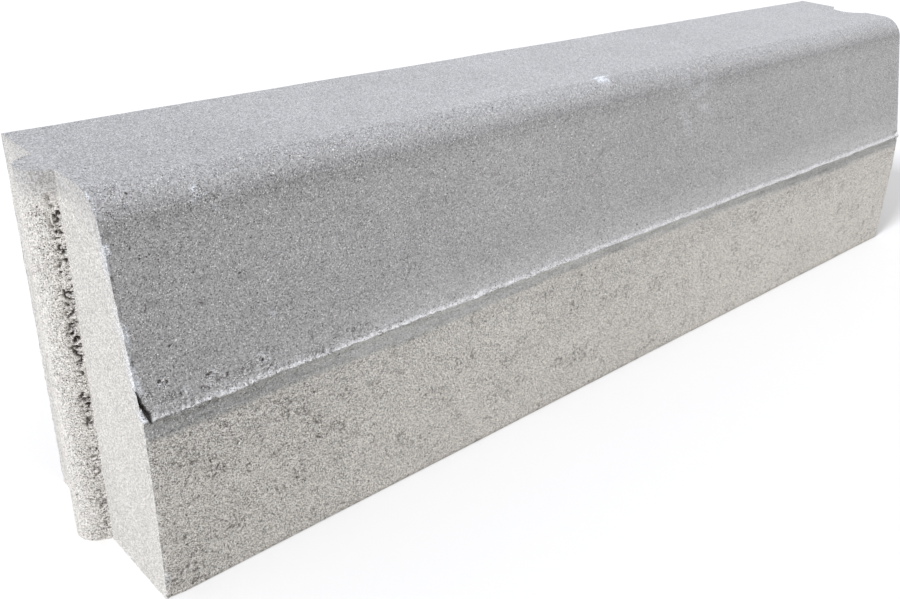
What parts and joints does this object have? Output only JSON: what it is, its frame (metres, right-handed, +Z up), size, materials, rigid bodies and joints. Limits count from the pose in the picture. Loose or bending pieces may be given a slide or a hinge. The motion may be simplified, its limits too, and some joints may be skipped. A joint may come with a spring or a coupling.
{
  "type": "concrete kerb stone",
  "caption": "Concrete kerb stone with a battered front above a small lip, a rounded top front edge, a plumb foot, and a tongue and groove on its ends.",
  "frame": {"origin": "on the bed face, at the middle of the laying length and of the base width", "axes": "+X along the row from the tongue end to the groove end, +Y from the battered front face to the plumb back, +Z up"},
  "size_m": [1.017, 0.17, 0.28],
  "materials": {
    "concrete": "matt, as cast"
  },
  "bodies": {
    "root": {"kerb_stone": "concrete"}
  },
  "joints": []
}
